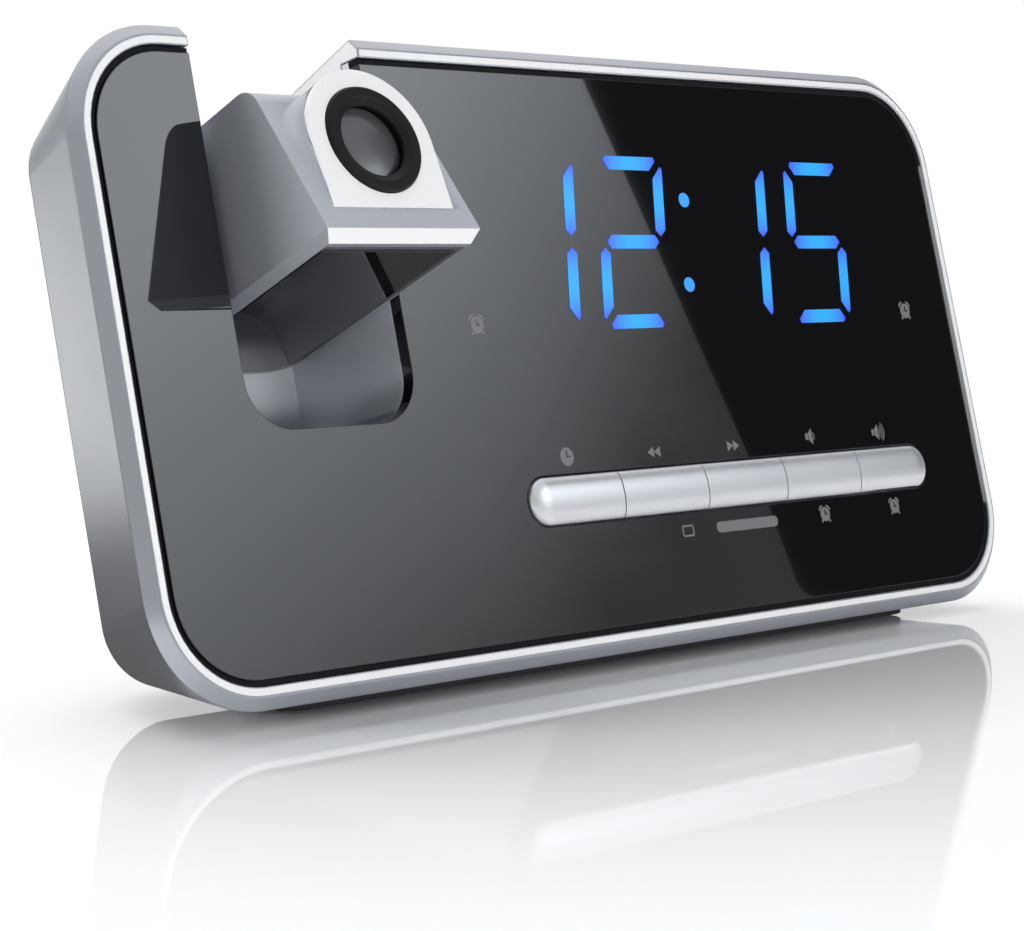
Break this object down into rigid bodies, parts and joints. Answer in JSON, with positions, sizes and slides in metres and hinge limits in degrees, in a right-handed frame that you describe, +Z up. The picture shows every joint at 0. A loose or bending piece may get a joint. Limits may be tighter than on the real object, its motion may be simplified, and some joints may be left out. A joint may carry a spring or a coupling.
{
  "type": "projection alarm clock",
  "caption": "Leaning slab-shaped mains alarm clock with lit numerals, a row of keys and a projector that tilts in a pocket beside the display.",
  "frame": {"origin": "on the floor under the middle of the clock's bounding box", "axes": "+X to the right across the face as seen from the front, +Y to the back, +Z up; the face looks towards -Y and leans back"},
  "size_m": [0.2028, 0.0632, 0.1021],
  "materials": {
    "silver_plastic": "painted silver, satin",
    "black_plastic": "black, fine texture",
    "black_gloss": "piano black, glossy",
    "silver_gloss": "painted silver, glossy",
    "key_metal": "bright silver plating",
    "lens_glass": "clear, coated",
    "led_blue": "lit blue segments",
    "board_green": "green board",
    "speaker_black": "black paper cone and frame",
    "steel_dark": "plain steel",
    "foot_rubber": "black rubber",
    "battery_wrap": "grey sleeve",
    "lamp_yellow": "milky",
    "film_dark": "dark film"
  },
  "bodies": {
    "clock": {"front_casing": "silver_plastic", "rear_cover": "black_plastic", "projector_pocket": "silver_plastic", "base_stand": "black_plastic", "foot_pads": "foot_rubber", "case_screws": "steel_dark", "front_panel": "black_gloss", "panel_frame": "black_plastic", "tact_switches": "black_plastic", "display_colon": "led_blue", "display_module": "black_plastic", "display_board": "board_green", "main_board": "board_green", "board_spacers": "black_plastic", "speaker": "speaker_black", "dc_jack": "black_plastic", "battery_box": "black_plastic", "backup_battery": "battery_wrap", "pivot_bushes": "black_plastic", "friction_washers": "black_plastic", "digit_hour_tens": "led_blue", "digit_hour_units": "led_blue", "digit_minute_tens": "led_blue", "digit_minute_units": "led_blue"},
    "projector": {"projector_shell": "silver_plastic", "projector_front": "black_gloss", "projector_frame": "black_plastic", "projector_trim": "silver_gloss", "lens_plate": "silver_gloss", "lens_barrel": "black_plastic", "lamp_house": "black_plastic", "time_film": "film_dark", "projector_lamp": "lamp_yellow", "pivot_pins": "steel_dark"},
    "focus_ring": {"focus_ring": "black_plastic", "projection_lens": "lens_glass"},
    "battery_door": {"battery_door": "black_plastic"},
    "clock_key": {"clock_key": "key_metal"},
    "rewind_key": {"rewind_key": "key_metal"},
    "forward_key": {"forward_key": "key_metal"},
    "volume_down_key": {"volume_down_key": "key_metal"},
    "volume_up_key": {"volume_up_key": "key_metal"}
  },
  "joints": [
    {"name": "projector_tilt", "type": "hinge", "parent": "clock", "child": "projector", "pos_m": [-0.06124, 0.00277, 0.06755], "axis": [1, 0, 0], "range_deg": [-79, 0]},
    {"name": "focus_turn", "type": "hinge", "parent": "projector", "child": "focus_ring", "pos_m": [-0.06124, -0.02292, 0.08432], "axis": [0, -0.903, 0.4297], "range_deg": [-45, 45]},
    {"name": "clock_press", "type": "slide", "parent": "clock", "child": "clock_key", "axis": [0, 0.9684, -0.2495], "range_m": [0, 0.0008], "stiffness_N_per_m": 600},
    {"name": "rewind_press", "type": "slide", "parent": "clock", "child": "rewind_key", "axis": [0, 0.9684, -0.2495], "range_m": [0, 0.0008], "stiffness_N_per_m": 600},
    {"name": "forward_press", "type": "slide", "parent": "clock", "child": "forward_key", "axis": [0, 0.9684, -0.2495], "range_m": [0, 0.0008], "stiffness_N_per_m": 600},
    {"name": "volume_down_press", "type": "slide", "parent": "clock", "child": "volume_down_key", "axis": [0, 0.9684, -0.2495], "range_m": [0, 0.0008], "stiffness_N_per_m": 600},
    {"name": "volume_up_press", "type": "slide", "parent": "clock", "child": "volume_up_key", "axis": [0, 0.9684, -0.2495], "range_m": [0, 0.0008], "stiffness_N_per_m": 600},
    {"name": "battery_door_pull", "type": "slide", "parent": "clock", "child": "battery_door", "axis": [0, 0.9684, -0.2495], "range_m": [0, 0.03]}
  ]
}
